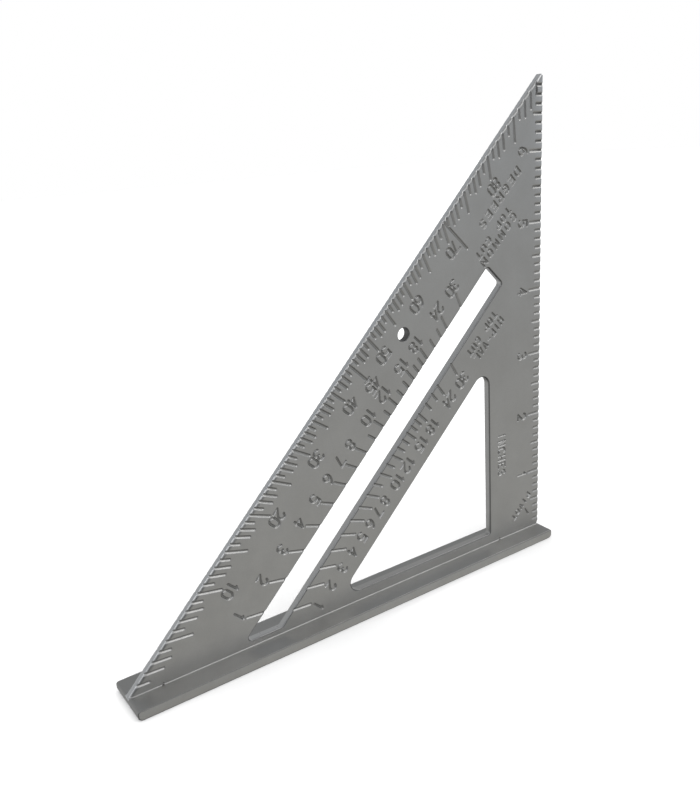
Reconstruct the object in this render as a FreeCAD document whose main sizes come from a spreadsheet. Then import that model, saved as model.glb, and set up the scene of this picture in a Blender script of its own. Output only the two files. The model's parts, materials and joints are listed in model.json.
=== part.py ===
"""Seven inch rafter angle square: a triangular blade whose tongue is seated in a T-shaped fence.

Frame: +Z up, the fence's underside on Z = 0, the blade in the XZ plane with its rafter scales on -Y,
and the ruler edge at the +X end. Places on the blade are given from the pivot corner, where the ruler
edge meets the fence: u runs along the fence towards -X, and v runs up the ruler edge.
"""
import FreeCAD, Part
import math
import os
from types import SimpleNamespace

import Sketcher
from FreeCAD import Placement, Rotation, Vector

DIMENSIONS = {
    "slope": 179.2,             # u + v along the sloping edge, so also the toe's u
    "tip_height": 178.2,        # v of the cut-off tip, just past seven inches
    "tip_radius": 0.5,
    "blade_thick": 3.2,
    "pivot_relief_u": 0.7,      # the ruler edge draws in by this much at the fence
    "pivot_relief_v": 1.6,      # and starts to at this height
    "fence_length": 179.8,
    "fence_width": 19.0,
    "fence_height": 3.5,
    "fence_heel": 1.5,          # rounding under each end of the fence
    "fence_edge": 0.4,          # rounding of the fence's other edges
    "tongue_depth": 1.8,
    "tongue_inset": 8.0,        # the tongue stops this far short of each end
    "root_bead": 0.5,           # leg of the bevel where the blade's foot meets the fence
    "root_bead_inset": 0.7,     # the bevels stop this far short of each end of the fence
    "slot_outer": 140.7,        # u + v along the slot's edge nearest the sloping edge
    "slot_inner": 125.7,        # u + v along the slot's edge nearest the window
    "slot_foot": 2.2,           # v of the slot's foot
    "slot_head": 86.4,          # v - u along the slot's square head
    "slot_radius": 1.2,
    "window_ruler": 26.7,       # u of the window's upright edge
    "window_foot": 4.2,         # v of the window's foot
    "window_slope": 104.4,      # u + v along the window's sloping edge
    "window_acute": 3.6,        # radius of the window's two acute corners
    "window_square": 1.0,       # radius of its square corner
    "hole_u": 66.4,
    "hole_v": 95.6,
    "hole_dia": 4.8,
    "rim_round": 0.35,          # rounding of the sloping edge, ruler edge and tip
    "groove_width": 0.9,
    "groove_depth": 0.45,
    "inch": 25.4,
    "tick_short": 3.05,         # reach of a ruler line in from the ruler edge
    "tick_half": 4.3,
    "tick_inch": 6.0,
    "degree_short": 3.05,       # reach of a degree line, square to the sloping edge
    "degree_medium": 4.75,
    "degree_long": 6.9,
    "degree_arrow": 9.8,        # reach of the 45 degree line
    "leader": 15.0,             # length of the line that stands square to the edge at 70 degrees
    "rafter_short": 3.8,        # reach of a rafter line, square to the slot
    "rafter_long": 5.2,
}
RUN_COMMON = 12.0                       # inches of run for a common rafter
RUN_HIP = RUN_COMMON * math.sqrt(2)     # inches of run for a hip or valley rafter
RISES = list(range(1, 19)) + [20, 22, 24, 30]
NUMBERED_RISES = (1, 2, 3, 4, 5, 6, 7, 8, 10, 12, 15, 18, 24, 30)
MEDIUM_DEGREES = (2, 3, 7, 8)           # last digits of the middle-length degree lines
LEADER_DEGREE = 70
EIGHTHS = 8
RUN_OUT = 1.5                           # how far a groove's cutter passes the edge it runs through
FLAT = 1e-4                             # tolerance for finding edges and faces by place
ROOT2 = math.sqrt(2)


class Size:
    """A length that carries its value and the sheet expression it comes from."""

    def __init__(self, value, text):
        self.value, self.text = value, text

    def __add__(self, other):
        return Size(self.value + other.value, f"({self.text} + {other.text})")

    def __sub__(self, other):
        return Size(self.value - other.value, f"({self.text} - {other.text})")

    def __neg__(self):
        return Size(-self.value, f"(-{self.text})")

    def __truediv__(self, number):
        return Size(self.value / number, f"({self.text} / {number})")


dim = SimpleNamespace(**{alias: Size(value, f"dims.{alias}") for alias, value in DIMENSIONS.items()})
zero = Size(0.0, "0 mm")
doc = FreeCAD.newDocument("speed_square")


def make_sheet():
    sheet = doc.addObject("Spreadsheet::Sheet", "dims")
    for row, (alias, value) in enumerate(DIMENSIONS.items(), start=1):
        sheet.set(f"A{row}", alias)
        sheet.set(f"B{row}", str(value))
        sheet.setAlias(f"B{row}", alias)
    doc.recompute()


def make_body(name):
    body = doc.addObject("PartDesign::Body", name)
    body.Label = name
    return body


def add_feature(body, kind, name, **settings):
    """A feature in the body. A Size is bound to the sheet, and anything else is set as it is."""
    feature = body.newObject(f"PartDesign::{kind}", name)
    for key, value in settings.items():
        if isinstance(value, Size):
            feature.setExpression(key, value.text)
        else:
            setattr(feature, key, value)
    doc.recompute()
    return feature


def add_sketch(body, name, plane, spin=None, **offset):
    """A sketch on one of the body's origin planes, moved by Sizes along the plane's own x, y and z."""
    sketch = body.newObject("Sketcher::SketchObject", name)
    origin_plane = next(f for f in body.Origin.OriginFeatures if f.Role == plane)
    sketch.AttachmentSupport = [(origin_plane, "")]
    sketch.MapMode = "FlatFace"
    sketch.AttachmentOffset = Placement(Vector(), spin or Rotation())
    for axis, size in offset.items():
        sketch.setExpression(f"AttachmentOffset.Base.{axis}", size.text)
    return sketch


def face_sketch(body, name, front=True):
    """A sketch in u and v with its origin at the pivot corner, on the -Y or the +Y face of the blade."""
    spin = Rotation(Vector(0, 1, 0), 180)       # turns the plane's x to -X, and its normal to +Y
    depth = dim.blade_thick / 2 if front else -dim.blade_thick / 2
    return add_sketch(body, name, "XZ_Plane", spin, x=dim.fence_length / 2, y=dim.fence_height, z=depth)


def add_outline(sketch, corners):
    """A closed outline through corners, each a pair of Sizes that hold it in place."""
    first = sketch.GeometryCount
    points = [Vector(x.value, y.value, 0) for x, y in corners]
    for i, start in enumerate(points):
        sketch.addGeometry(Part.LineSegment(start, points[(i + 1) % len(points)]), False)
    for i in range(len(points)):
        following = first + (i + 1) % len(points)
        sketch.addConstraint(Sketcher.Constraint("Coincident", first + i, 2, following, 1))
    for i, place in enumerate(corners):
        for kind, size in zip(("DistanceX", "DistanceY"), place):
            index = sketch.addConstraint(Sketcher.Constraint(kind, -1, 1, first + i, 1, size.value))
            sketch.setExpression(f"Constraints[{index}]", size.text)


def box_corners(low_x, low_y, high_x, high_y):
    return [(low_x, low_y), (high_x, low_y), (high_x, high_y), (low_x, high_y)]


def edges_where(shape, test):
    """Names of the shape's edges whose two ends and middle all pass the test."""
    names = []
    for i, edge in enumerate(shape.Edges, start=1):
        points = [v.Point for v in edge.Vertexes] + [edge.valueAt(sum(edge.ParameterRange) / 2)]
        if all(test(p) for p in points):
            names.append(f"Edge{i}")
    return names


def round_edges(body, base, name, radius, test):
    names = edges_where(base.Shape, test)
    if not names:
        raise RuntimeError(f"{name} found no edges")
    return add_feature(body, "Fillet", name, Base=(base, names), Radius=radius)


def to_uv(point):
    """u and v of a point in the part's frame."""
    return dim.fence_length.value / 2 - point.x, point.z - dim.fence_height.value


def upright_at(u, v):
    """A test for the edge that crosses the blade's thickness at u and v."""
    def test(point):
        there = to_uv(point)
        return abs(there[0] - u.value) < FLAT and abs(there[1] - v.value) < FLAT
    return test


# --- fence -----------------------------------------------------------------------------------------


def make_fence():
    body = make_body("fence")
    half_length, half_width = dim.fence_length / 2, dim.fence_width / 2
    plan = add_sketch(body, "fence_plan", "XY_Plane")
    add_outline(plan, box_corners(-half_length, -half_width, half_length, half_width))
    bar = add_feature(body, "Pad", "fence_bar", Profile=plan, Length=dim.fence_height)

    def under_an_end(point):
        return abs(point.z) < FLAT and abs(abs(point.x) - half_length.value) < FLAT

    def on_top_or_front_or_back(point):
        return (abs(point.z - dim.fence_height.value) < FLAT
                or abs(abs(point.y) - half_width.value) < FLAT)

    heels = round_edges(body, bar, "fence_heels", dim.fence_heel, under_an_end)
    round_edges(body, heels, "fence_rims", dim.fence_edge, on_top_or_front_or_back)

    groove = add_sketch(body, "groove_plan", "XY_Plane", z=dim.fence_height)
    half_groove = dim.fence_length / 2 - dim.tongue_inset
    half_blade = dim.blade_thick / 2
    add_outline(groove, box_corners(-half_groove, -half_blade, half_groove, half_blade))
    add_feature(body, "Pocket", "tongue_groove", Profile=groove, Length=dim.tongue_depth)
    return body


# --- blade -----------------------------------------------------------------------------------------


def add_plate(body):
    outline = face_sketch(body, "plate_outline")
    tip_u = dim.slope - dim.tip_height
    add_outline(outline, [(dim.pivot_relief_u, zero), (dim.slope, zero), (tip_u, dim.tip_height),
                          (zero, dim.tip_height), (zero, dim.pivot_relief_v)])
    plate = add_feature(body, "Pad", "plate", Profile=outline, Length=dim.blade_thick)

    def at_tip(point):
        return any(upright_at(u, dim.tip_height)(point) for u in (zero, tip_u))

    tip = round_edges(body, plate, "tip_corners", dim.tip_radius, at_tip)

    def on_outer_rim(point):
        """On a rim of the plate. The rims along the root fail at their middles, where v is 0."""
        u, v = to_uv(point)
        on_face = abs(abs(point.y) - dim.blade_thick.value / 2) < FLAT
        beyond_root = u < dim.pivot_relief_u.value + FLAT or u > dim.slope.value - FLAT
        return on_face and (v > FLAT or beyond_root)

    round_edges(body, tip, "plate_rims", dim.rim_round, on_outer_rim)


def add_foot(body):
    """The tongue that sits in the fence, and the bevel along each side of the root."""
    tongue = face_sketch(body, "tongue_outline")
    add_outline(tongue, box_corners(dim.tongue_inset, -dim.tongue_depth,
                                    dim.fence_length - dim.tongue_inset, zero))
    add_feature(body, "Pad", "tongue", Profile=tongue, Length=dim.blade_thick)

    bead = add_sketch(body, "bead_profile", "YZ_Plane")
    reach = dim.blade_thick / 2 + dim.root_bead
    foot, top = dim.fence_height, dim.fence_height + dim.root_bead
    half_blade = dim.blade_thick / 2
    add_outline(bead, [(-reach, foot), (reach, foot), (half_blade, top), (-half_blade, top)])
    add_feature(body, "Pad", "root_beads", Profile=bead, Midplane=True,
                Length=dim.fence_length - dim.root_bead_inset - dim.root_bead_inset)


def cut_through(body, sketch, name):
    """Cuts a sketched shape right through the blade, and makes sure that it removed something."""
    before = body.Shape.Volume
    cut = add_feature(body, "Pocket", name, Profile=sketch, Type="ThroughAll", Midplane=True)
    if body.Shape.Volume > before - 1.0:
        raise RuntimeError(f"{name} removed nothing")
    return cut


def add_openings(body):
    slot_corners = [
        (dim.slot_inner - dim.slot_foot, dim.slot_foot),
        (dim.slot_outer - dim.slot_foot, dim.slot_foot),
        ((dim.slot_outer - dim.slot_head) / 2, (dim.slot_outer + dim.slot_head) / 2),
        ((dim.slot_inner - dim.slot_head) / 2, (dim.slot_inner + dim.slot_head) / 2),
    ]
    slot = face_sketch(body, "slot_outline")
    add_outline(slot, slot_corners)
    slot_cut = cut_through(body, slot, "slot")
    round_edges(body, slot_cut, "slot_corners", dim.slot_radius,
                lambda p: any(upright_at(u, v)(p) for u, v in slot_corners))

    window_corners = [
        (dim.window_ruler, dim.window_foot),
        (dim.window_slope - dim.window_foot, dim.window_foot),
        (dim.window_ruler, dim.window_slope - dim.window_ruler),
    ]
    window = face_sketch(body, "window_outline")
    add_outline(window, window_corners)
    window_cut = cut_through(body, window, "window")
    square_corner, *acute_corners = window_corners
    square = round_edges(body, window_cut, "window_square_corner", dim.window_square,
                         upright_at(*square_corner))
    round_edges(body, square, "window_acute_corners", dim.window_acute,
                lambda p: any(upright_at(u, v)(p) for u, v in acute_corners))

    hole = face_sketch(body, "hole_outline")
    centre = Vector(dim.hole_u.value, dim.hole_v.value, 0)
    hole.addGeometry(Part.Circle(centre, Vector(0, 0, 1), dim.hole_dia.value / 2), False)
    for kind, size in (("DistanceX", dim.hole_u), ("DistanceY", dim.hole_v)):
        index = hole.addConstraint(Sketcher.Constraint(kind, -1, 1, 0, 3, size.value))
        hole.setExpression(f"Constraints[{index}]", size.text)
    index = hole.addConstraint(Sketcher.Constraint("Diameter", 0, dim.hole_dia.value))
    hole.setExpression(f"Constraints[{index}]", dim.hole_dia.text)
    cut_through(body, hole, "hanging_hole")


# --- scales ----------------------------------------------------------------------------------------


def groove_corners(start, end):
    """The four corners of a straight groove between two (u, v) points."""
    (u0, v0), (u1, v1) = start, end
    length = math.hypot(u1 - u0, v1 - v0)
    half = dim.groove_width.value / 2
    du, dv = -(v1 - v0) / length * half, (u1 - u0) / length * half
    return [Vector(u0 + du, v0 + dv, 0), Vector(u1 + du, v1 + dv, 0),
            Vector(u1 - du, v1 - dv, 0), Vector(u0 - du, v0 - dv, 0)]


def radial(degrees, line, inset):
    """The point on the ray at an angle from the fence where u + v is line, less inset square to it."""
    angle = math.radians(degrees)
    radius = (line - inset * ROOT2) / (math.cos(angle) + math.sin(angle))
    return radius * math.cos(angle), radius * math.sin(angle)


def ruler_lines():
    """Eighths of an inch along the ruler edge."""
    lines = []
    for count in range(1, 7 * EIGHTHS):
        if count % EIGHTHS == 0:
            reach = dim.tick_inch.value
        elif count % (EIGHTHS // 2) == 0:
            reach = dim.tick_half.value
        else:
            reach = dim.tick_short.value
        v = count * dim.inch.value / EIGHTHS
        lines.append(((-RUN_OUT, v), (reach, v)))
    return lines


def degree_lines():
    """One line for each degree, from the sloping edge towards the pivot corner."""
    lines = []
    for degree in range(1, 90):
        if degree == 45:
            reach = dim.degree_arrow.value
        elif degree % 5 == 0:
            reach = dim.degree_long.value
        elif degree % 10 in MEDIUM_DEGREES:
            reach = dim.degree_medium.value
        else:
            reach = dim.degree_short.value
        edge = dim.slope.value
        lines.append((radial(degree, edge, -RUN_OUT), radial(degree, edge, reach)))
    return lines


def leader_line():
    """The line that stands square to the sloping edge beside the 70 degree line."""
    u, v = radial(LEADER_DEGREE, dim.slope.value, -RUN_OUT)
    step = (dim.leader.value + RUN_OUT) / ROOT2
    return [((u, v), (u - step, v - step))]


def rafter_lines(run, edge, side):
    """Pitch lines for a rafter of the given run. They leave the slot's edge towards side, +1 or -1."""
    lines = []
    for rise in RISES:
        numbered = rise in NUMBERED_RISES
        reach = dim.rafter_long.value if numbered else dim.rafter_short.value
        degrees = math.degrees(math.atan(rise / run))
        lines.append((radial(degrees, edge.value, side * RUN_OUT),
                      radial(degrees, edge.value, -side * reach)))
    return lines


def cut_grooves(body, name, lines, front):
    sketch = face_sketch(body, f"{name}_lines", front)
    for start, end in lines:
        corners = groove_corners(start, end)
        for i, point in enumerate(corners):
            sketch.addGeometry(Part.LineSegment(point, corners[(i + 1) % 4]), False)
    before = body.Shape.Volume
    add_feature(body, "Pocket", name, Profile=sketch, Length=dim.groove_depth, Reversed=front)
    if body.Shape.Volume > before - 0.1:
        raise RuntimeError(f"{name} removed nothing")


def make_blade():
    body = make_body("blade")
    add_plate(body)
    add_foot(body)
    add_openings(body)
    for face, front in (("front", True), ("back", False)):
        cut_grooves(body, f"ruler_{face}", ruler_lines(), front)
        cut_grooves(body, f"degrees_{face}", degree_lines(), front)
    cut_grooves(body, "leader", leader_line(), True)
    cut_grooves(body, "common_rafter", rafter_lines(RUN_COMMON, dim.slot_outer, 1), True)
    cut_grooves(body, "hip_rafter", rafter_lines(RUN_HIP, dim.slot_inner, -1), True)
    return body


def check_and_write(bodies):
    doc.recompute()
    for item in doc.Objects:
        if any(word in item.State for word in ("Invalid", "Error")):
            raise RuntimeError(f"{item.Name} is {item.State}")
    os.makedirs("parts", exist_ok=True)
    for body in bodies:
        shape = body.Shape
        if shape.isNull() or not shape.isValid() or len(shape.Solids) != 1:
            raise RuntimeError(f"{body.Label} is not one valid solid")
        shape.exportStep(f"parts/{body.Label}.step")
        box = shape.BoundBox
        print(f"{body.Label}: {shape.Volume / 1000:.2f} cm3, X {box.XMin:.2f} to {box.XMax:.2f},"
              f" Y {box.YMin:.2f} to {box.YMax:.2f}, Z {box.ZMin:.2f} to {box.ZMax:.2f}")


make_sheet()
check_and_write([make_fence(), make_blade()])
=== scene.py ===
import json
import math

import bmesh
import bpy
import numpy as np
from mathutils import Matrix, Vector
from mathutils.geometry import delaunay_2d_cdt


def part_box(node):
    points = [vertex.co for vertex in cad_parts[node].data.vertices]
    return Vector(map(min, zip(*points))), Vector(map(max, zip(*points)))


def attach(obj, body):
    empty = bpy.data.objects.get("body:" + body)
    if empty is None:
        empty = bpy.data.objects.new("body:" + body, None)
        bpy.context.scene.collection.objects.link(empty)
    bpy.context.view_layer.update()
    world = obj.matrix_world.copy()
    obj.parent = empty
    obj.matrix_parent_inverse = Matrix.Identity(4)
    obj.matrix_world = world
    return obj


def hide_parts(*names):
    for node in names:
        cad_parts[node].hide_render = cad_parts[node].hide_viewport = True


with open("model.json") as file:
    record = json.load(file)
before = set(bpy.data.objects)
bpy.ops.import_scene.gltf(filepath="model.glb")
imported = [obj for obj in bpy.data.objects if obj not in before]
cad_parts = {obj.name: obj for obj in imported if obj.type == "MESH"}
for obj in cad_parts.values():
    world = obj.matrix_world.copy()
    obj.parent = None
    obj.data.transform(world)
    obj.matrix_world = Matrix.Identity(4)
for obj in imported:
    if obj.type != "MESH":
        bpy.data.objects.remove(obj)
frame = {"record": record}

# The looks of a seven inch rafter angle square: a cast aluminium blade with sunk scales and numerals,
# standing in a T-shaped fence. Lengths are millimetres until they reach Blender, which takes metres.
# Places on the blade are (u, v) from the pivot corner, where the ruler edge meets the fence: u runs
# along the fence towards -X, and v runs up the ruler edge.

MM = 0.001
INCH = 25.4
ROOT2 = math.sqrt(2)

# --- sizes from the frame --------------------------------------------------------------------------

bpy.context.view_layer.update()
blade_low, blade_high = (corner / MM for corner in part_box("blade"))
fence_low, fence_high = (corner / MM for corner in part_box("fence"))
mounts = {mount["name"]: mount for mount in frame["record"]["mounts"]}
hanging_hole = mounts["hanging_hole"]

PIVOT_X = blade_high.x
ROOT_Z = fence_high.z
SLOPE = blade_high.x - blade_low.x              # u + v along the sloping edge
TIP_HEIGHT = blade_high.z - ROOT_Z
HALF_BLADE = hanging_hole["dims"]["length_mm"] / 2
HOLE_U = PIVOT_X - hanging_hole["pos_m"][0] / MM
HOLE_V = hanging_hole["pos_m"][2] / MM - ROOT_Z
HOLE_RADIUS = hanging_hole["dims"]["r_mm"]

# --- sizes of the casting --------------------------------------------------------------------------

PIVOT_RELIEF = (0.7, 1.6)       # the ruler edge draws in by this much in u, from this v down
ROOT_DEPTH = 0.5                # how far the blade's foot reaches into the fence
BLADE_CORNER = 0.7              # radius of the tip's and the toe's corners
FOOT_CORNER = 0.1               # radius of the corners that stand inside the fence
PIVOT_CORNER = 0.8              # radius where the pivot relief starts
RIM = 0.35                      # rounding of the blade's outer rims and of the hole's
SLOPE_RIM = 1.35                # the larger rounding along the sloping edge
OPENING_RIM = 0.55              # rounding of the rims of the slot and the window
ROOT_FILLET = 0.32              # radius where each face of the blade meets the fence
ROOT_NICKS = (0.87 * INCH, 6.60 * INCH)         # u of the nicks in the root's line
ROOT_NICK = 0.35                # how far a nick reaches up and down
SLOT_OUTER, SLOT_INNER = 140.7, 126.4           # u + v along the slot's long edges
SLOT_FOOT, SLOT_HEAD = 2.2, 86.4                # v of its foot, v - u of its head
SLOT_RADIUS = 1.2
WINDOW_RULER, WINDOW_FOOT = 27.2, 4.2           # u of the window's upright edge, v of its foot
WINDOW_SLOPE = 104.4            # u + v along its sloping edge
WINDOW_RADII = (1.0, 3.6, 3.6)  # its square corner's and its sharp corners'
OPENING_DRAFT = 0.2             # how much wider the slot and the window are all round at the back
FENCE_CORNERS = (1.5, 1.5, 0.7, 1.0)            # radii of its profile's corners, under and over its ends
FENCE_RIM = 0.4
FENCE_SKEW = 1.1                # how much shorter its front edge is than its back one, at the toe

# --- painted shade, and wear with painted highlight, from 0 to 1 -----------------------------------

# Painted shade on a line along the rims, and on the walls beyond them.
SLOPE_SHADES = (0.45, 0.0)
OPENING_SHADES = (1.0, 0.0)
HOLE_SHADES = (0.9, 0.85)
FENCE_SHADES = (1.0, 0.23)      # the fence's wall is its top, its ends and its underside
RIM_LINE = 0.13                 # how far down a rim that painted shade line is darkest, as a share of its height
ROOT_SHADE = (0.23, 6.0)        # painted shade on the blade's skin at the fence, and how far up it fades
GROOVE_SHADE = 0.4              # painted shade in a groove for each millimetre of its depth
TIP_GROOVE_SHADE = 5.0       # how much more of that where the painted sheen at the ruler edge's tip is full
EDGE_WEAR_AND_SHEEN, SLOPE_WEAR_AND_SHEEN, SLOT_WEAR_AND_SHEEN = 0.5, 1.0, 0.5            # how worn these rims and their walls are: smoother, and lighter partly by wear and partly by painted highlight
RUBBED_SHEEN = 0.5                    # lighter, smoother face at the ruler edge's tip: a painted reflection, with real smoothing
RUBBED_SHEEN_FROM, RUBBED_SHEEN_WIDTH = 110.0, 6.0          # the v where that starts, and how far in it reaches
RUBBED_SHEEN_DEPTH = 0.15             # what lies deeper than this gets no painted sheen

# --- scales ----------------------------------------------------------------------------------------

LINE = (0.70, 0.47)             # half width and depth of a graduation
RULER_LINE = (0.88, 0.46)       # the same on the ruler edge
NUMERAL = (0.56, 0.58)          # for a numeral
CAPTION = (0.50, 0.52)          # and for a word
RUN_OUT = 1.5                   # how far a line passes the edge that it runs out through
RULER_EIGHTHS, RULER_INCHES = 55, 6             # lines and numerals on the ruler scale
TICK_SHORT, TICK_HALF, TICK_INCH = 3.05, 4.3, 6.0           # reach of a ruler line from its edge
DEGREE_SHORT, DEGREE_MEDIUM, DEGREE_LONG = 3.05, 4.75, 6.9  # reach of a degree line from its edge
DEGREE_ARROW = 10.2             # reach of the 45 degree line
MEDIUM_DEGREES = (2, 3, 7, 8)   # last digits of the middle-length degree lines
LEADER_DEGREE, LEADER = 70, 15.0                # where the line square to the edge starts, its length
RAFTER_SHORT, RAFTER_LONG = 3.8, 5.2            # reach of a rafter line from the slot
RUN_COMMON = 12.0               # inches of run for a common rafter
RUN_HIP = RUN_COMMON * ROOT2
RISES = list(range(1, 19)) + [20, 22, 24, 30]   # inches of rise with a line
NUMBERED_RISES = (1, 2, 3, 4, 5, 6, 7, 8, 10, 12, 15, 18, 24, 30)
NUMERAL_HEIGHT = 4.2
RULER_NUMERAL_HEIGHT = 4.3
DIGIT_WIDTH, LETTER_WIDTH = 0.57, 0.80          # of a glyph, as shares of its height
LETTER_FILL = 0.56              # the most of its pitch that a letter fills
DIGIT_PITCH = 0.73              # from digit to digit, as a share of their height
RULER_NUMERALS = 0.38 * INCH                    # u of the middles of the ruler's numerals
DEGREE_NUMERALS, ARROW_NUMERAL = 6.5 * INCH, 6.32 * INCH    # u + v of the middles of the others
COMMON_NUMERALS, HIP_NUMERALS = 6.0 * INCH, 4.48 * INCH
SLIDE, RAFTER_SLIDE = 1.2, 0.8  # how far a numeral's middle has slid along its line's direction
ARROW_BARB = (1.3, 0.4)                         # along and square to the sloping edge
UP_TO_PIVOT = (-1 / ROOT2, -1 / ROOT2)          # glyph tops on the sloping scales
UP_TO_RULER = (-1.0, 0.0)                       # glyph tops on the ruler scale
PIVOT_MARK = ((0.296 * INCH, 0.36 * INCH), (0.225 * INCH, 0.25 * INCH))     # the stroke at the pivot

# --- glyphs ----------------------------------------------------------------------------------------

ARC_STEP = 22                   # degrees turned by each piece of a glyph's arc


def arc(x, y, rx, ry, start, end):
    """Points on an ellipse, from one angle to another in degrees."""
    steps = max(4, round(abs(end - start) / ARC_STEP))
    angles = (math.radians(start + (end - start) * i / steps) for i in range(steps + 1))
    return [(x + rx * math.cos(a), y + ry * math.sin(a)) for a in angles]


def ring(x, y, rx, ry):
    return [arc(x, y, rx, ry, 90, 450)]


def make_glyphs():
    """Strokes of each glyph in a cell one wide and one high. A sharp corner starts a new stroke."""
    oval = [arc(.5, .7, .5, .3, 0, 180) + arc(.5, .3, .5, .3, 180, 360) + [(1, .7)]]
    left, right = [(0, 0), (0, 1)], [(1, 0), (1, 1)]
    bowl = [(0, 1)] + arc(.55, .75, .45, .25, 90, -90) + [(0, .5)]
    six = ring(.5, .29, .5, .29) + [[(0, .32), (.05, .56), (.2, .8), (.42, .94), (.72, 1)]]
    return {
        "0": oval,
        "1": [[(.5, 0), (.5, 1)], [(.5, 1), (.22, .8)]],
        "2": [arc(.5, .7, .48, .3, 170, -30) + [(.45, .27), (0, 0)], [(0, 0), (1, 0)]],
        "3": [arc(.48, .75, .44, .25, 150, -90), arc(.48, .26, .52, .26, 90, -150)],
        "4": [[(.76, 0), (.76, 1)], [(.76, 1), (0, .3)], [(0, .3), (1, .3)]],
        "5": [[(.92, 1), (.12, 1)], [(.12, 1), (.08, .56)], arc(.48, .32, .52, .32, 140, -145)],
        "6": six,
        "7": [[(0, 1), (1, 1)], [(1, 1), (.35, 0)]],
        "8": ring(.5, .76, .42, .24) + ring(.5, .27, .5, .27),
        "9": [[(1 - x, 1 - y) for x, y in stroke] for stroke in six],
        "-": [[(.15, .5), (.85, .5)]],
        "A": [[(0, 0), (.5, 1)], [(.5, 1), (1, 0)], [(.2, .36), (.8, .36)]],
        "C": [arc(.5, .7, .5, .3, 20, 180) + arc(.5, .3, .5, .3, 180, 340)],
        "D": [left, [(0, 1)] + arc(.4, .6, .6, .4, 90, 0) + arc(.4, .4, .6, .4, 0, -90) + [(0, 0)]],
        "E": [left, [(0, 1), (1, 1)], [(0, .52), (.8, .52)], [(0, 0), (1, 0)]],
        "G": [arc(.5, .7, .5, .3, 20, 180) + arc(.5, .3, .5, .3, 180, 350), [(1, .42), (.55, .42)]],
        "H": [left, right, [(0, .5), (1, .5)]],
        "I": [[(.5, 0), (.5, 1)]],
        "L": [left, [(0, 0), (1, 0)]],
        "M": [left, right, [(0, 1), (.5, .3)], [(.5, .3), (1, 1)]],
        "N": [left, right, [(0, 1), (1, 0)]],
        "O": oval,
        "P": [left, bowl],
        "R": [left, bowl, [(.5, .5), (1, 0)]],
        "S": [arc(.5, .75, .46, .25, 30, 270) + arc(.5, .25, .5, .25, 90, -150)[1:]],
        "T": [[(.5, 0), (.5, 1)], [(0, 1), (1, 1)]],
        "U": [[(0, 1)] + arc(.5, .35, .5, .35, 180, 360) + [(1, 1)]],
        "V": [[(0, 1), (.5, 0)], [(.5, 0), (1, 1)]],
    }


GLYPHS = make_glyphs()


def write(text, centre, up, height, pitch, cut, front=True):
    """Strokes for a word centred at a (u, v) point. pitch is from letter to letter."""
    up = np.array(up)
    along = np.array((-up[1], up[0])) if front else np.array((up[1], -up[0]))
    width = height * DIGIT_WIDTH if text.isdigit() else min(height * LETTER_WIDTH, pitch * LETTER_FILL)
    strokes = []
    for place, glyph in enumerate(text):
        middle = np.array(centre) + along * (place - (len(text) - 1) / 2) * pitch
        for points in GLYPHS.get(glyph, ()):
            cell = [middle + along * (x - .5) * width + up * (y - .5) * height for x, y in points]
            strokes.append((np.array(cell), *cut))
    return strokes


def numeral(number, centre, up, front=True, height=NUMERAL_HEIGHT):
    return write(str(number), centre, up, height, height * DIGIT_PITCH, NUMERAL, front)


# --- graduations -----------------------------------------------------------------------------------


def line(start, end, cut=LINE):
    return np.array((start, end), float), *cut


def radial(degrees, edge, inset):
    """The point on the ray at an angle from the fence where u + v is edge, less inset square to it."""
    angle = math.radians(degrees)
    radius = (edge - inset * ROOT2) / (math.cos(angle) + math.sin(angle))
    return radius * math.cos(angle), radius * math.sin(angle)


def beyond(end, edge):
    """The point square to the sloping edge from a line's end, where u + v is edge."""
    step = (edge - sum(end)) / 2
    return end[0] + step, end[1] + step


def ruler_scale(front):
    """Eighths of an inch up the ruler edge, with a numeral at each inch."""
    strokes = []
    for count in range(1, RULER_EIGHTHS + 1):
        v = count * INCH / 8
        reach = TICK_INCH if count % 8 == 0 else TICK_HALF if count % 4 == 0 else TICK_SHORT
        strokes.append(line((-RUN_OUT, v), (reach, v), RULER_LINE))
    for inch in range(1, RULER_INCHES + 1):
        place = (RULER_NUMERALS, inch * INCH)
        strokes += numeral(inch, place, UP_TO_RULER, front, RULER_NUMERAL_HEIGHT)
    return strokes


def degree_scale(front):
    """One line for each degree, a numeral at each ten, and an arrow at 45."""
    strokes = []
    for degree in range(1, 90):
        reach = DEGREE_SHORT
        if degree == 45:
            reach = DEGREE_ARROW
        elif degree % 5 == 0:
            reach = DEGREE_LONG
        elif degree % 10 in MEDIUM_DEGREES:
            reach = DEGREE_MEDIUM
        strokes.append(line(radial(degree, SLOPE, -RUN_OUT), radial(degree, SLOPE, reach)))
    for degree in range(10, 90, 10):
        place = beyond(radial(degree, SLOPE, DEGREE_LONG + SLIDE), DEGREE_NUMERALS)
        strokes += numeral(degree, place, UP_TO_PIVOT, front)
    tip = np.array(radial(45, SLOPE, DEGREE_ARROW))
    along, square = (size / ROOT2 for size in ARROW_BARB)
    for side in (-1, 1):
        barb = tip + (square + side * along, square - side * along)
        strokes.append(line(tip, barb, NUMERAL))
    strokes += numeral(45, radial(45, ARROW_NUMERAL, 0), UP_TO_PIVOT, front)
    return strokes


def rafter_scale(run, edge, side, numerals):
    """Pitch lines for a rafter of the given run. They leave the slot's edge towards side, +1 or -1."""
    strokes = []
    for rise in RISES:
        numbered = rise in NUMBERED_RISES
        reach = RAFTER_LONG if numbered else RAFTER_SHORT
        degrees = math.degrees(math.atan(rise / run))
        start, end = radial(degrees, edge, side * RUN_OUT), radial(degrees, edge, -side * reach)
        strokes.append(line(start, end))
        if numbered:
            place = beyond(radial(degrees, edge, -side * (reach + RAFTER_SLIDE)), numerals)
            strokes += numeral(rise, place, UP_TO_PIVOT)
    return strokes


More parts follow.
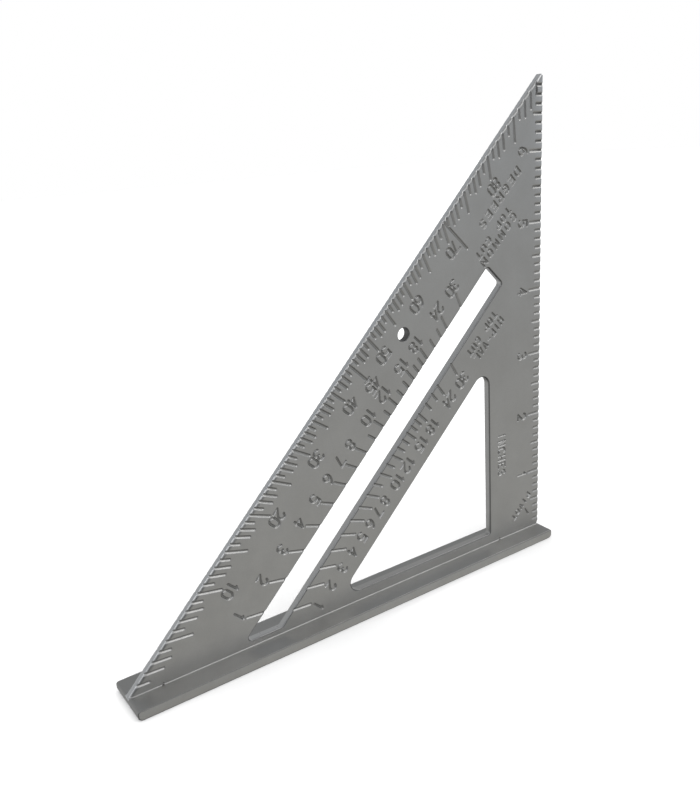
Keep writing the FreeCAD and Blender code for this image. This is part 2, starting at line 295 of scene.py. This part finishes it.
def captions():
    """The words on the front face, and the mark at the pivot."""
    words = [                   # text, middle, height and pitch in inches, and which way the tops point
        ("DEGREES", (0.821, 5.407), 0.118, 0.154, UP_TO_PIVOT),
        ("COMMON", (0.850, 4.827), 0.103, 0.160, UP_TO_PIVOT),
        ("TOP CUT", (0.957, 4.930), 0.093, 0.132, UP_TO_PIVOT),
        ("HIP-VAL", (1.056, 3.400), 0.108, 0.111, UP_TO_PIVOT),
        ("TOP CUT", (1.194, 3.505), 0.103, 0.113, UP_TO_PIVOT),
        ("PIVOT", (0.388, 0.439), 0.095, 0.108, UP_TO_PIVOT),
        ("INCHES", (0.815, 1.484), 0.140, 0.125, UP_TO_RULER),
    ]
    strokes = []
    for text, (u, v), height, pitch, up in words:
        centre = (u * INCH, v * INCH)
        strokes += write(text, centre, up, height * INCH, pitch * INCH, CAPTION)
    strokes.append(line(*PIVOT_MARK, CAPTION))
    return strokes


def front_strokes():
    leader_start = np.array(radial(LEADER_DEGREE, SLOPE, -RUN_OUT))
    leader_end = leader_start - (LEADER + RUN_OUT) / ROOT2
    return (ruler_scale(True) + degree_scale(True) + captions()
            + [line(leader_start, leader_end)]
            + [line((u, -ROOT_NICK), (u, ROOT_NICK), NUMERAL) for u in ROOT_NICKS]
            + rafter_scale(RUN_COMMON, SLOT_OUTER, 1, COMMON_NUMERALS)
            + rafter_scale(RUN_HIP, SLOT_INNER, -1, HIP_NUMERALS))


# --- plates: a flat outline with openings, rounded rims and sunk strokes ---------------------------

GROOVE_STEPS = (1.0, 0.74, 0.48, 0.22)          # where a groove's rings run, as shares of its half width
RIM_ANGLES = (0, 30, 60, 90)    # where a rim's rings run round its rounding, in degrees
WAIST = 0.1                     # where the walls' inner rows run, as a share of the half thickness
JOINED = 1e-4                   # points closer than this are one point
SMALLEST_RADIUS = 0.04          # of a corner that has been moved in
CORNER_STEP = 15                # degrees turned by each piece of a corner's arc
CAP_STEPS = 6                   # pieces round a stroke's end
HOLE_STEPS = 48                 # pieces round the hole


def rounded(corners, radii, inset=0.0, fixed=()):
    """A convex outline, counter-clockwise, moved in by inset, with an arc at each corner.

    The edges whose numbers are in fixed don't move. Edge i runs from corner i to the next."""
    count = len(corners)
    corners = [np.array(c, float) for c in corners]
    edges = []
    for i in range(count):
        step = corners[(i + 1) % count] - corners[i]
        step /= np.linalg.norm(step)
        inward = np.array((-step[1], step[0]))
        edges.append((corners[i] + inward * (0 if i in fixed else inset), step))
    points = []
    for i in range(count):
        (p, a), (q, b) = edges[i - 1], edges[i]
        turn = a[0] * b[1] - a[1] * b[0]
        along = ((q - p)[0] * b[1] - (q - p)[1] * b[0]) / turn
        corner = p + a * along
        angle = math.atan2(turn, a @ b)
        radius = max(radii[i] - inset, SMALLEST_RADIUS)
        centre = corner - a * radius * math.tan(angle / 2) + np.array((-a[1], a[0])) * radius
        start = math.atan2(-a[0], a[1])
        steps = max(2, round(math.degrees(angle) / CORNER_STEP))
        for k in range(steps + 1):
            turned = start + angle * k / steps
            points.append(centre + radius * np.array((math.cos(turned), math.sin(turned))))
    return np.array(points)


def circle(x, y, radius):
    angles = np.arange(HOLE_STEPS) * 2 * math.pi / HOLE_STEPS
    return np.stack((x + radius * np.cos(angles), y + radius * np.sin(angles)), 1)


class Outline:
    """A convex outline. inward is 1 where the material is inside it and -1 round an opening.

    An outline that isn't walled only rounds the rim of the one that lies along it. wear is how worn the
    rim and the wall are, which makes them smoother and lighter, partly by wear and partly by painted
    highlight, and shades are how strong the painted shade is on a line along the rim and on the wall.
    rimless tells the edges that have no rounding, from their starts and ends."""

    def __init__(self, shape, rim, inward=1, wear=0.0, shades=(0.0, 0.0), rimless=None, walled=True):
        self.shape, self.rim, self.inward, self.walled = shape, rim, inward, walled
        self.wear, self.line_shade, self.wall_shade = wear, *shades
        self.points = shape(0.0)
        ends = np.roll(self.points, -1, 0)
        step = (ends - self.points) / np.linalg.norm(ends - self.points, axis=1)[:, None]
        normals = np.stack((-step[:, 1], step[:, 0]), 1)
        self.normals, self.offsets = normals, (normals * self.points).sum(1)
        self.rimmed = np.ones(len(step), bool) if rimless is None else ~rimless(self.points, ends)

    def depths(self, points, rimmed_only=False):
        """How far each point is inside the outline's edges. It is negative outside."""
        keep = self.rimmed if rimmed_only else slice(None)
        return (points @ self.normals[keep].T - self.offsets[keep]).min(1)

    def rings(self):
        for angle in RIM_ANGLES:
            yield self.shape(self.inward * self.rim * (1 - math.cos(math.radians(angle))))

    def rim_drop(self, points):
        """Height of the rounded rim at each point, 0 on the face and down to -rim at the outline."""
        depth = self.inward * self.depths(points, True)
        share = np.clip(depth / self.rim, 0, 1)
        return -self.rim * (1 - np.sqrt(np.clip(1 - (1 - share) ** 2, 0, 1)))


def offset_line(points, distance):
    """A closed outline round a smooth polyline at a distance, with round ends."""
    steps = np.diff(points, axis=0)
    steps /= np.linalg.norm(steps, axis=1)[:, None]
    normals = np.stack((-steps[:, 1], steps[:, 0]), 1)
    before, after = np.vstack((normals[:1], normals)), np.vstack((normals, normals[-1:]))
    mitre = before + after
    mitre /= (mitre * before).sum(1)[:, None]
    left, right = points + mitre * distance, points - mitre * distance

    def cap(centre, normal):
        angle = math.atan2(normal[1], normal[0])
        turned = [angle - math.pi * k / CAP_STEPS for k in range(1, CAP_STEPS)]
        return [centre + distance * np.array((math.cos(t), math.sin(t))) for t in turned]

    return np.array([*left, *cap(points[-1], normals[-1]), *right[::-1], *cap(points[0], -normals[0])])


def distance_to(points, polyline):
    """Distance from each point to a polyline."""
    best = np.full(len(points), np.inf)
    for start, end in zip(polyline[:-1], polyline[1:]):
        step = end - start
        share = np.clip(((points - start) @ step) / (step @ step), 0, 1)
        best = np.minimum(best, np.linalg.norm(points - start - share[:, None] * step, axis=1))
    return best


def groove_drop(points, strokes):
    """Height of the sunk strokes at each point: 0 on the face, and deepest along each stroke."""
    drop = np.zeros(len(points))
    for polyline, half_width, depth in strokes:
        low, high = polyline.min(0) - half_width, polyline.max(0) + half_width
        near = np.flatnonzero(((points >= low) & (points <= high)).all(1))
        if len(near):
            share = np.clip(distance_to(points[near], polyline) / half_width, 0, 1)
            drop[near] = np.minimum(drop[near], -depth * (1 + np.cos(math.pi * share)) / 2)
    return drop


class Sketch:
    """Points and edges for the triangulation."""

    def __init__(self):
        self.points, self.edges = [], []

    def add(self, points, closed=True):
        first = len(self.points)
        self.points += [Vector(p) for p in points]
        self.edges += [(first + i, first + i + 1) for i in range(len(points) - 1)]
        if closed:
            self.edges.append((first + len(points) - 1, first))


def triangulate(outlines, strokes, fillet):
    """The face of a plate as (points, triangles) in the plane."""
    sketch = Sketch()
    for outline in outlines:
        for ring_points in outline.rings():
            sketch.add(ring_points)
    for polyline, half_width, _ in strokes:
        sketch.add(polyline, False)
        for share in GROOVE_STEPS:
            sketch.add(offset_line(polyline, share * half_width))
    if fillet:
        low, high = outlines[0].points.min(0), outlines[0].points.max(0)
        for angle in RIM_ANGLES:
            v = fillet * (1 - math.cos(math.radians(angle)))
            sketch.add([(low[0] - 1, v), (high[0] + 1, v)], False)
    found = delaunay_2d_cdt(sketch.points, sketch.edges, [], 0, JOINED, False)
    points = np.array([tuple(p) for p in found[0]])
    triangles = np.array(found[2])
    centres = points[triangles].mean(1)
    inside = np.ones(len(centres), bool)
    for outline in outlines:
        inside &= outline.inward * outline.depths(centres) > 0
    triangles = triangles[inside]
    used, packed = np.unique(triangles, return_inverse=True)
    return points[used], packed.reshape(-1, 3)


def boundary_loops(triangles):
    """The loops of vertices round a flat patch of triangles."""
    edges = {tuple(edge) for t in triangles for edge in ((t[0], t[1]), (t[1], t[2]), (t[2], t[0]))}
    follows = {a: b for a, b in edges if (b, a) not in edges}
    loops = []
    while follows:
        start, here = follows.popitem()
        loop = [start]
        while here != start:
            loop.append(here)
            here = follows.pop(here)
        loops.append(loop)
    return loops


def nearest_loop(loops, points, place):
    """The loop that comes nearest to a place, turned to start at its nearest vertex."""
    def distances(loop):
        return np.linalg.norm(points[loop] - place, axis=1)

    nearest = min(loops, key=lambda loop: distances(loop).min())
    first = int(np.argmin(distances(nearest)))
    return nearest[first:] + nearest[:first]


def travel(loop, points):
    """Share of the way round a loop at each of its vertices, ending with 1."""
    steps = np.linalg.norm(np.roll(points[loop], -1, 0) - points[loop], axis=1)
    return np.concatenate(([0], np.cumsum(steps))) / steps.sum()


def zip_loops(front, back, points):
    """Triangles between a front loop and a back loop that run the same way, as (face, vertex) corners."""
    front_travel, back_travel = travel(front, points[0]), travel(back, points[1])
    triangles, i, j = [], 0, 0
    while i < len(front) or j < len(back):
        a, b = i % len(front), j % len(back)
        if j == len(back) or (i < len(front) and front_travel[i + 1] <= back_travel[j + 1]):
            i += 1
            triangles.append(((0, a), (1, b), (0, i % len(front))))
        else:
            j += 1
            triangles.append(((0, a), (1, b), (1, j % len(back))))
    return triangles


def face_heights(points, outlines, strokes, fillet):
    """Height of a face at each point, from its flat part: sunk strokes, rims and the root's fillet."""
    height = groove_drop(points, strokes)
    for outline in outlines:
        height = -np.hypot(height, outline.rim_drop(points))
    if fillet:
        share = np.clip(points[:, 1] / fillet, 0, 1)
        height += fillet * (1 - np.sqrt(np.clip(1 - (1 - share) ** 2, 0, 1)))
    return height


def face_marks(points, outlines, strokes, dull, rubbed):
    """The painted shade at each point of a face, and how worn and lightened it is, partly by wear and
    partly by painted highlight. dull and rubbed say it of the flat.
    """
    sunk = -groove_drop(points, strokes)
    worn = rubbed(points) if rubbed else np.zeros(len(points))
    # Painted shade in the grooves, stronger under the painted sheen by the tip.
    dulled = np.maximum(dull(points), (GROOVE_SHADE + TIP_GROOVE_SHADE * worn) * sunk)
    worn *= sunk < RUBBED_SHEEN_DEPTH
    for outline in outlines:
        turned = -outline.rim_drop(points) / outline.rim
        # Worn rims turn smoother, and lighter partly by wear and partly by painted highlight.
        worn += outline.wear * turned
        # Painted shade on the walls, and on a line along each rim by the face.
        if outline.walled:
            dulled = dulled * (1 - turned) + outline.wall_shade * turned
        near_face = np.minimum(turned / RIM_LINE, 1) * (1 - turned)
        dulled = np.maximum(dulled, outline.line_shade * near_face)
    return dulled, worn


def smooth_normals(points, triangles):
    """Vertex normals in which a big triangle counts for more, so that flat faces stay flat."""
    a, b, c = (points[triangles[:, k]] for k in range(3))
    face_normals = np.cross(b - a, c - a)
    normals = np.zeros_like(points)
    for k in range(3):
        np.add.at(normals, triangles[:, k], face_normals)
    return normals / np.maximum(np.linalg.norm(normals, axis=1), 1e-12)[:, None]


class Plate:
    """A plate whose two faces carry strokes, as a growing mesh. Points are (u, v) and a height."""

    def __init__(self, half):
        self.half = half
        self.flat, self.heights, self.triangles = [], [], []
        self.dulled, self.worn = [], []
        self.count = 0
        self.faces = []

    def add_points(self, flat, heights, dulled, worn):
        """Adds points, and returns the number of the first."""
        first = self.count
        self.flat.append(flat)
        self.heights.append(heights)
        self.dulled.append(dulled)
        self.worn.append(worn)
        self.count += len(flat)
        return first

    def add_face(self, side, outlines, strokes, dull, rubbed, fillet):
        points, triangles = triangulate(outlines, strokes, fillet)
        heights = side * (self.half + face_heights(points, outlines, strokes, fillet))
        dulled, worn = face_marks(points, outlines, strokes, dull, rubbed)
        first = self.add_points(points, heights, dulled, worn)
        self.triangles.append(triangles[:, ::side] + first)
        self.faces.append((side, points, boundary_loops(triangles), first, worn))

    def add_wall(self, outline):
        """Joins the two faces along an outline, by way of a waist on each side of the middle."""
        loops, waists, points = [], [], []
        for side, face_points, face_loops, first, worn in self.faces:
            loop = nearest_loop(face_loops, face_points, outline.points[0])
            # Painted shade on the wall.
            dulled = np.full(len(loop), outline.wall_shade)
            heights = np.full(len(loop), side * self.half * WAIST)
            waist_first = self.add_points(face_points[loop], heights, dulled, worn[loop])
            rim = [first + vertex for vertex in loop]
            waist = [waist_first + k for k in range(len(loop))]
            around = range(len(loop))
            self.triangles.append([(rim[k - 1], waist[k - 1], rim[k]) for k in around])
            self.triangles.append([(rim[k], waist[k - 1], waist[k]) for k in around])
            loops.append(loop)
            waists.append(waist)
            points.append(face_points)
        wall = zip_loops(*loops, points)
        self.triangles.append([[waists[row][k] for row, k in corner] for corner in wall])

    def mesh(self, name, place):
        flat, heights = np.vstack(self.flat), np.concatenate(self.heights)
        points = np.stack(place(flat[:, 0], flat[:, 1], heights), 1) * MM
        marks = {"dull": np.concatenate(self.dulled), "worn": np.concatenate(self.worn)}
        return mesh_object(name, points, np.vstack(self.triangles), marks)


def make_plate(name, sides, half, place, dull, rubbed=None, fillet=0.0):
    """A plate as a mesh object. place turns (u, v, height) into the row frame, in mm.

    sides are its front and its back as (1 or -1, outlines, strokes), with outlines that match.
    dull and rubbed give the painted shade and the wear at each point of a face, from 0 to 1; the wear's
    lighter colour is partly painted highlight and reflection."""
    plate = Plate(half)
    for side, outlines, strokes in sides:
        plate.add_face(side, outlines, strokes, dull, rubbed, fillet)
    for outline in outlines:
        if outline.walled:
            plate.add_wall(outline)
    return plate.mesh(name, place)


def mesh_object(name, points, triangles, marks):
    """A smooth mesh object. marks are numbers on its vertices for the material to read."""
    mesh = bpy.data.meshes.new(name)
    mesh.from_pydata(points.tolist(), [], triangles.tolist())
    shape = bmesh.new()
    shape.from_mesh(mesh)
    bmesh.ops.recalc_face_normals(shape, faces=shape.faces)
    shape.to_mesh(mesh)
    shape.free()
    for mark, values in marks.items():
        attribute = mesh.attributes.new(mark, "FLOAT", "POINT")
        attribute.data.foreach_set("value", np.clip(values, 0, 1).astype(np.float32))
    mesh.polygons.foreach_set("use_smooth", [True] * len(mesh.polygons))
    turned = np.array([tuple(polygon.vertices) for polygon in mesh.polygons])
    mesh.normals_split_custom_set_from_vertices(smooth_normals(points, turned).tolist())
    piece = bpy.data.objects.new(name, mesh)
    bpy.context.scene.collection.objects.link(piece)
    return piece


def blade_outlines(draft):
    """The blade's own outline and its openings', which are wider by the draft."""
    tip_u = SLOPE - TIP_HEIGHT
    relief_u, relief_v = PIVOT_RELIEF
    foot_u = relief_u * (1 + ROOT_DEPTH / relief_v)
    body = [(foot_u, -ROOT_DEPTH), (SLOPE, -ROOT_DEPTH), (SLOPE, 0.0), (tip_u, TIP_HEIGHT),
            (0.0, TIP_HEIGHT), (0.0, relief_v)]
    body_radii = [FOOT_CORNER] * 2 + [BLADE_CORNER] * 3 + [PIVOT_CORNER]
    slot = [(SLOT_INNER - SLOT_FOOT, SLOT_FOOT), (SLOT_OUTER - SLOT_FOOT, SLOT_FOOT),
            ((SLOT_OUTER - SLOT_HEAD) / 2, (SLOT_OUTER + SLOT_HEAD) / 2),
            ((SLOT_INNER - SLOT_HEAD) / 2, (SLOT_INNER + SLOT_HEAD) / 2)]
    window = [(WINDOW_RULER, WINDOW_FOOT), (WINDOW_SLOPE - WINDOW_FOOT, WINDOW_FOOT),
              (WINDOW_RULER, WINDOW_SLOPE - WINDOW_RULER)]

    # A large triangle that shares only the sloping edge with the body.
    slope = [(-SLOPE, -SLOPE), (2 * SLOPE, -SLOPE), (-SLOPE, 2 * SLOPE)]
    slope_radii = [1.0] * 3

    def along_root(starts, ends):
        return (starts[:, 1] < 0) & (ends[:, 1] < 0)

    return [
        Outline(lambda inset: rounded(body, body_radii, inset, (0,)), RIM, 1,
                EDGE_WEAR_AND_SHEEN, rimless=along_root),
        Outline(lambda inset: rounded(slope, slope_radii, inset), SLOPE_RIM, 1,
                SLOPE_WEAR_AND_SHEEN, SLOPE_SHADES, walled=False),
        Outline(lambda inset: rounded(slot, [SLOT_RADIUS] * 4, inset - draft), OPENING_RIM, -1,
                SLOT_WEAR_AND_SHEEN, OPENING_SHADES),
        Outline(lambda inset: rounded(window, WINDOW_RADII, inset - draft), OPENING_RIM, -1,
                shades=OPENING_SHADES),
        Outline(lambda inset: circle(HOLE_U, HOLE_V, HOLE_RADIUS - inset), RIM, -1,
                shades=HOLE_SHADES),
    ]


def make_blade():
    def place(u, v, height):
        return PIVOT_X - u, -height, ROOT_Z + v

    # Painted shade: the skin darkens towards the fence.
    def dull(points):
        shade, reach = ROOT_SHADE
        return shade * np.exp(-np.maximum(points[:, 1], 0) / reach)

    # Painted reflection: a lighter patch by the ruler edge's tip, smoother too.
    def rubbed(points):
        rise = np.clip((points[:, 1] - RUBBED_SHEEN_FROM) / (TIP_HEIGHT - RUBBED_SHEEN_FROM), 0, 1)
        return RUBBED_SHEEN * np.sqrt(rise) * np.clip(1 - points[:, 0] / RUBBED_SHEEN_WIDTH, 0, 1)

    back = ruler_scale(False) + degree_scale(False)
    sides = (1, blade_outlines(0), front_strokes()), (-1, blade_outlines(OPENING_DRAFT), back)
    return make_plate("blade_casting", sides, HALF_BLADE, place, dull, rubbed, ROOT_FILLET)


def make_fence():
    """The fence, as a plate whose faces are its front and its back."""
    corners = [(fence_low.x, fence_low.z), (fence_high.x, fence_low.z),
               (fence_high.x, fence_high.z), (fence_low.x, fence_high.z)]
    half = (fence_high.y - fence_low.y) / 2

    def place(x, z, height):
        skew = FENCE_SKEW * (half + height) / (2 * half) * np.clip(-x / fence_high.x, 0, 1)
        return x + skew, -height, z

    def dull(points):
        return np.zeros(len(points))

    profile = Outline(lambda inset: rounded(corners, FENCE_CORNERS, inset), FENCE_RIM,
                      shades=FENCE_SHADES)
    return make_plate("fence_casting", ((1, [profile], []), (-1, [profile], [])), half, place, dull)


# --- materials -------------------------------------------------------------------------------------

BASE_DARK = (0.50, 0.497, 0.485)
BASE_LIGHT = (0.54, 0.538, 0.528)
GRAIN_DARK = (0.40, 0.398, 0.39)
# The colour of the painted shade.
PAINTED_SHADE_COLOUR = (0.10, 0.10, 0.10)
# The lighter colour of worn rims and of the tip's patch: partly wear, partly painted highlight and
# reflection.
WEAR_AND_SHEEN_COLOUR = (0.74, 0.755, 0.77)
WEAR_AND_SHEEN_SHARE = 0.85               # how much of that colour a fully worn rim takes on
WORN_ROUGHNESS = 0.25
WEAR_AND_SHEEN_COLOUR_FROM = 0.1          # the wear from which the colour turns
WORN_SMOOTH_AT = 0.6            # the wear at which the roughness is fully WORN_ROUGHNESS
SATIN_ROUGHNESS = (0.37, 0.47)  # the least and the most, where the metal isn't worn
MOTTLE = (55.0, 4.0, 0.6)       # scale, detail and roughness of a noise
GRAIN = (2600.0, 3.0, 0.65)
SATIN = (320.0, 3.0, 0.6)
WAVES = (38.0, 2.0, 0.5)
MOTTLE_BAND = (0.35, 0.65)      # the noise's values from the darkest metal to the lightest
NOISE_BAND = (0.3, 0.7)         # the same for the grain and the satin
GRAIN_SHARE = 0.3               # how much of its colour the strongest grain takes on
WAVE_BUMP = (0.0008, 0.03)      # distance in metres, and strength
SKIN_BUMP = (0.00008, 0.35)
FLOOR_COLOUR = (0.86, 0.86, 0.86)
FLOOR_ROUGHNESS, FLOOR_SPECULAR = 0.9, 0.1


def cast_aluminium(name):
    """Satin cast aluminium: fine grain, slow mottling, painted shade in sunk strokes and along rims, and
    worn rims that are smoother and lighter, partly by painted highlight.
    """
    material = bpy.data.materials.new(name)
    material.use_nodes = True
    nodes, links = material.node_tree.nodes, material.node_tree.links
    shader = nodes["Principled BSDF"]
    shader.inputs["Metallic"].default_value = 1.0
    coordinates = nodes.new("ShaderNodeTexCoord")

    def noise(scale, detail, roughness):
        node = nodes.new("ShaderNodeTexNoise")
        node.inputs["Scale"].default_value = scale
        node.inputs["Detail"].default_value = detail
        node.inputs["Roughness"].default_value = roughness
        links.new(coordinates.outputs["Object"], node.inputs["Vector"])
        return node.outputs["Fac"]

    def spread(value, low, high, to_low, to_high):
        node = nodes.new("ShaderNodeMapRange")
        node.inputs["From Min"].default_value, node.inputs["From Max"].default_value = low, high
        node.inputs["To Min"].default_value, node.inputs["To Max"].default_value = to_low, to_high
        links.new(value, node.inputs["Value"])
        return node.outputs["Result"]

    def mix(share, first, second):
        node = nodes.new("ShaderNodeMix")
        node.data_type = "RGBA"
        for socket, value in ((node.inputs["Factor"], share), (node.inputs["A"], first),
                              (node.inputs["B"], second)):
            if isinstance(value, bpy.types.NodeSocket):
                links.new(value, socket)
            else:
                socket.default_value = value
        return node.outputs["Result"]

    def mark(label):
        node = nodes.new("ShaderNodeAttribute")
        node.attribute_name = label
        return node.outputs["Fac"]

    def bump(settings, height, under=None):
        node = nodes.new("ShaderNodeBump")
        node.inputs["Distance"].default_value, node.inputs["Strength"].default_value = settings
        links.new(height, node.inputs["Height"])
        if under:
            links.new(under, node.inputs["Normal"])
        return node.outputs["Normal"]

    mottle = noise(*MOTTLE)
    grain = noise(*GRAIN)
    colour = mix(spread(mottle, *MOTTLE_BAND, 0, 1), (*BASE_DARK, 1), (*BASE_LIGHT, 1))
    colour = mix(spread(grain, *NOISE_BAND, 0, GRAIN_SHARE), colour, (*GRAIN_DARK, 1))
    # Painted shade: the grooves, the root, lines along rims, the fence's top and the hole's wall turn
    # darker.
    colour = mix(mark("dull"), colour, (*PAINTED_SHADE_COLOUR, 1))
    # Worn rims and the tip's patch turn lighter: partly wear, partly painted highlight and reflection.
    worn_and_sheen_share = spread(mark("worn"), WEAR_AND_SHEEN_COLOUR_FROM, 1, 0, WEAR_AND_SHEEN_SHARE)
    colour = mix(worn_and_sheen_share, colour, (*WEAR_AND_SHEEN_COLOUR, 1))
    links.new(colour, shader.inputs["Base Color"])
    satin = spread(noise(*SATIN), *NOISE_BAND, *SATIN_ROUGHNESS)
    rubbed = nodes.new("ShaderNodeMix")
    links.new(spread(mark("worn"), 0, WORN_SMOOTH_AT, 0, 1), rubbed.inputs["Factor"])
    links.new(satin, rubbed.inputs["A"])
    rubbed.inputs["B"].default_value = WORN_ROUGHNESS
    links.new(rubbed.outputs["Result"], shader.inputs["Roughness"])

    waves = bump(WAVE_BUMP, noise(*WAVES))
    links.new(bump(SKIN_BUMP, grain, waves), shader.inputs["Normal"])
    return material


def floor_material():
    material = bpy.data.materials.new("pale_floor")
    material.use_nodes = True
    shader = material.node_tree.nodes["Principled BSDF"]
    shader.inputs["Base Color"].default_value = (*FLOOR_COLOUR, 1)
    shader.inputs["Roughness"].default_value = FLOOR_ROUGHNESS
    shader.inputs["Specular IOR Level"].default_value = FLOOR_SPECULAR
    return material


# --- object ----------------------------------------------------------------------------------------

metal = cast_aluminium("cast_aluminium")
for piece, node in ((make_blade(), "blade"), (make_fence(), "fence")):
    piece.data.materials.append(metal)
    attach(piece, "root")
    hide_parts(node)


# --- stage, light and camera -----------------------------------------------------------------------

CAMERA_AZIMUTH, CAMERA_ELEVATION, CAMERA_ROLL = 31.757, 18.598, -4.09       # degrees
CAMERA_DISTANCE, CAMERA_LENS = 257.7, 39.23                                 # mm
AIM_U, AIM_V = 3.546 * INCH, 3.048 * INCH                                   # on the blade's front face
CLIP_START = 0.01               # metres
FLOOR_SIZE = 8.0                # metres


def make_floor():
    bpy.ops.mesh.primitive_plane_add(size=FLOOR_SIZE)
    floor = bpy.context.object
    floor.name = "floor"
    floor.data.materials.append(floor_material())
    floor.visible_glossy = False


def make_camera():
    azimuth, elevation, roll = map(math.radians, (CAMERA_AZIMUTH, CAMERA_ELEVATION, CAMERA_ROLL))
    out = math.cos(elevation)
    back = Vector((-math.sin(azimuth) * out, -math.cos(azimuth) * out, math.sin(elevation)))
    level = Vector((math.cos(azimuth), -math.sin(azimuth), 0))
    upright = back.cross(level)
    right = math.cos(roll) * level + math.sin(roll) * upright
    up = math.cos(roll) * upright - math.sin(roll) * level
    camera = bpy.data.objects.new("camera", bpy.data.cameras.new("camera"))
    camera.data.sensor_fit = "HORIZONTAL"
    camera.data.lens = CAMERA_LENS
    camera.data.clip_start = CLIP_START
    aim = Vector((PIVOT_X - AIM_U, -HALF_BLADE, ROOT_Z + AIM_V)) * MM
    turn = Matrix((right, up, back)).transposed().to_4x4()
    camera.matrix_world = Matrix.Translation(aim + back * CAMERA_DISTANCE * MM) @ turn
    bpy.context.scene.collection.objects.link(camera)
    bpy.context.scene.camera = camera


# What the metal mirrors at each elevation, in degrees. In front are a dark table, a paler wall and a soft
# ceiling light. To the left the wall is darker and the light comes lower. Behind, the room is dimmer.
STUDIO_FRONT = [
    (-90, (0.06, 0.06, 0.06)), (-58, (0.14, 0.14, 0.135)), (-42, (0.62, 0.615, 0.59)),
    (-12, (0.41, 0.41, 0.40)), (4, (0.60, 0.63, 0.67)), (18, (0.28, 0.29, 0.295)),
    (27, (0.30, 0.305, 0.31)), (32, (1.7, 1.7, 1.7)), (50, (1.7, 1.7, 1.7)),
    (61, (0.5, 0.5, 0.5)), (70, (0.25, 0.25, 0.25)),
]
STUDIO_LEFT = [
    (-90, (0.06, 0.06, 0.06)), (-58, (0.14, 0.14, 0.135)), (-42, (0.55, 0.55, 0.53)),
    (-16, (0.42, 0.42, 0.42)), (-3, (0.08, 0.08, 0.08)), (9, (0.08, 0.08, 0.08)),
    (19, (0.30, 0.32, 0.34)), (27, (1.5, 1.52, 1.56)), (40, (1.4, 1.42, 1.46)),
    (50, (0.55, 0.56, 0.58)), (66, (0.4, 0.4, 0.4)),
]
STUDIO_BACK = [
    (-90, (0.06, 0.06, 0.06)), (-46, (0.14, 0.14, 0.14)), (-30, (0.62, 0.62, 0.62)),
    (-6, (0.50, 0.51, 0.515)), (12, (0.44, 0.44, 0.44)), (30, (0.42, 0.425, 0.43)),
    (42, (0.36, 0.38, 0.40)), (60, (0.45, 0.45, 0.45)),
]
LEFT_FROM, LEFT_TO = 0.12, -0.28                # x of the directions between which the left takes over
BACK_FROM, BACK_TO = -0.25, 0.35                # y of those between which the room behind does
BACKDROP = 1.0                  # radiance of the pale backdrop
FILL = 1.5                      # radiance that lights the floor
KEY_FROM = (0.50, -0.42, 0.76)  # where the soft key light comes from
KEY_SPREAD, KEY_STRENGTH = 30, 0.2              # degrees, W/m2


def make_world():
    world = bpy.data.worlds.new("studio")
    world.use_nodes = True
    nodes, links = world.node_tree.nodes, world.node_tree.links
    background = nodes["Background"]
    direction = nodes.new("ShaderNodeTexCoord")
    split = nodes.new("ShaderNodeSeparateXYZ")
    links.new(direction.outputs["Generated"], split.inputs["Vector"])

    def spread(value, low, high):
        node = nodes.new("ShaderNodeMapRange")
        node.inputs["From Min"].default_value = low
        node.inputs["From Max"].default_value = high
        links.new(value, node.inputs["Value"])
        return node.outputs["Result"]

    def sky(colours):
        ramp = nodes.new("ShaderNodeValToRGB")
        links.new(spread(split.outputs["Z"], -1, 1), ramp.inputs["Fac"])
        stops = ramp.color_ramp.elements
        while len(stops) < len(colours):
            stops.new(0.5)
        for stop, (elevation, colour) in zip(stops, colours):
            stop.position = (math.sin(math.radians(elevation)) + 1) / 2
            stop.color = (*colour, 1)
        return ramp.outputs["Color"]

    rays = nodes.new("ShaderNodeLightPath")

    def choose(share, first, second):
        node = nodes.new("ShaderNodeMix")
        node.data_type = "RGBA"
        links.new(share, node.inputs["Factor"])
        for socket, value in ((node.inputs["A"], first), (node.inputs["B"], second)):
            if isinstance(value, bpy.types.NodeSocket):
                links.new(value, socket)
            else:
                socket.default_value = (value, value, value, 1)
        return node.outputs["Result"]

    left = spread(split.outputs["X"], LEFT_FROM, LEFT_TO)
    behind = spread(split.outputs["Y"], BACK_FROM, BACK_TO)
    ahead = choose(left, sky(STUDIO_FRONT), sky(STUDIO_LEFT))
    room = choose(behind, ahead, sky(STUDIO_BACK))
    lit = choose(rays.outputs["Is Diffuse Ray"], room, FILL)
    links.new(choose(rays.outputs["Is Camera Ray"], lit, BACKDROP), background.inputs["Color"])
    bpy.context.scene.world = world


def make_light():
    light = bpy.data.objects.new("key", bpy.data.lights.new("key", "SUN"))
    light.data.energy = KEY_STRENGTH
    light.data.angle = math.radians(KEY_SPREAD)
    light.rotation_euler = Vector(KEY_FROM).to_track_quat("Z", "Y").to_euler()
    bpy.context.scene.collection.objects.link(light)


make_floor()
make_camera()
make_world()
make_light()
bpy.context.scene.view_settings.view_transform = "Standard"
